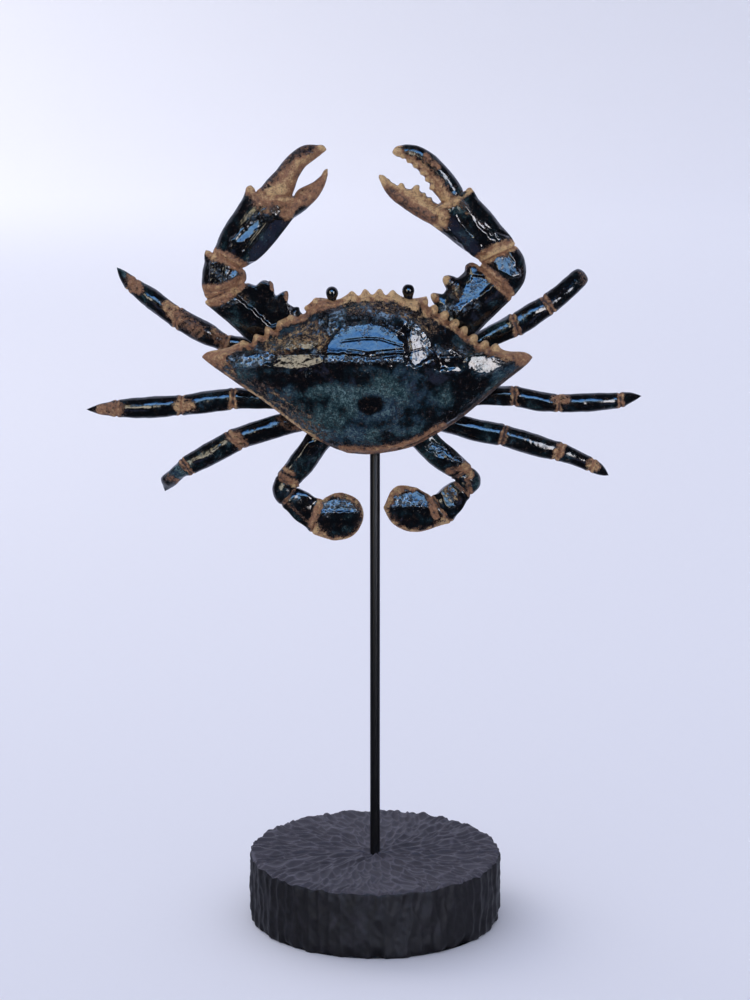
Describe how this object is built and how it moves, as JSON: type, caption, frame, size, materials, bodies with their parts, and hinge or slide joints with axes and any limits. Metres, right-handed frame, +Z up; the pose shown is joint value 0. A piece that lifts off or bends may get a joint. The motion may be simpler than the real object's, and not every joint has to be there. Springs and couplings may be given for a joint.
{
  "type": "glazed stoneware swimming crab on a stand",
  "caption": "Life-size hand-modelled stoneware crab with a dark pooled glaze, claws raised and swimming legs tucked in, shown upright on a thin rod in a round carved wooden base.",
  "frame": {"origin": "centre of the underside of the round base, on the rod's axis", "axes": "+Z up along the rod, crab's back towards -Y, +X to the right as the back is seen"},
  "size_m": [0.3404, 0.159, 0.4814],
  "materials": {
    "crab_glaze": "thick dark blue-green glaze, glossy and pitted, breaking to brown at edges and joints",
    "bare_clay": "brown clay under a thin dry glaze",
    "eye_glaze": "glossy black glaze",
    "base_wood": "gouge-carved and stained black, dull",
    "rod_steel": "blackened, satin"
  },
  "bodies": {
    "root": {"abdomen": "crab_glaze", "carapace": "crab_glaze", "eye_left": "eye_glaze", "eye_right": "eye_glaze", "left_claw_carpus": "crab_glaze", "left_claw_finger": "bare_clay", "left_claw_merus": "crab_glaze", "left_claw_palm": "crab_glaze", "left_leg_1_carpus": "crab_glaze", "left_leg_1_dactyl": "crab_glaze", "left_leg_1_merus": "crab_glaze", "left_leg_1_propodus": "crab_glaze", "left_leg_2_carpus": "crab_glaze", "left_leg_2_dactyl": "crab_glaze", "left_leg_2_merus": "crab_glaze", "left_leg_2_propodus": "crab_glaze", "left_leg_3_dactyl": "crab_glaze", "left_leg_3_merus": "crab_glaze", "left_leg_3_propodus": "crab_glaze", "left_swimming_leg_carpus": "crab_glaze", "left_swimming_leg_merus": "crab_glaze", "left_swimming_leg_paddle": "crab_glaze", "left_swimming_leg_propodus": "crab_glaze", "mouthpart_left": "crab_glaze", "mouthpart_right": "crab_glaze", "right_claw_carpus": "crab_glaze", "right_claw_finger": "bare_clay", "right_claw_merus": "crab_glaze", "right_claw_palm": "crab_glaze", "right_leg_1_dactyl": "crab_glaze", "right_leg_1_merus": "crab_glaze", "right_leg_1_propodus": "crab_glaze", "right_leg_2_carpus": "crab_glaze", "right_leg_2_dactyl": "crab_glaze", "right_leg_2_merus": "crab_glaze", "right_leg_2_propodus": "crab_glaze", "right_leg_3_carpus": "crab_glaze", "right_leg_3_dactyl": "crab_glaze", "right_leg_3_merus": "crab_glaze", "right_leg_3_propodus": "crab_glaze", "right_swimming_leg_carpus": "crab_glaze", "right_swimming_leg_merus": "crab_glaze", "right_swimming_leg_paddle": "crab_glaze", "right_swimming_leg_propodus": "crab_glaze", "stand_base": "base_wood", "stand_rod": "rod_steel", "underbody": "crab_glaze"}
  },
  "joints": []
}
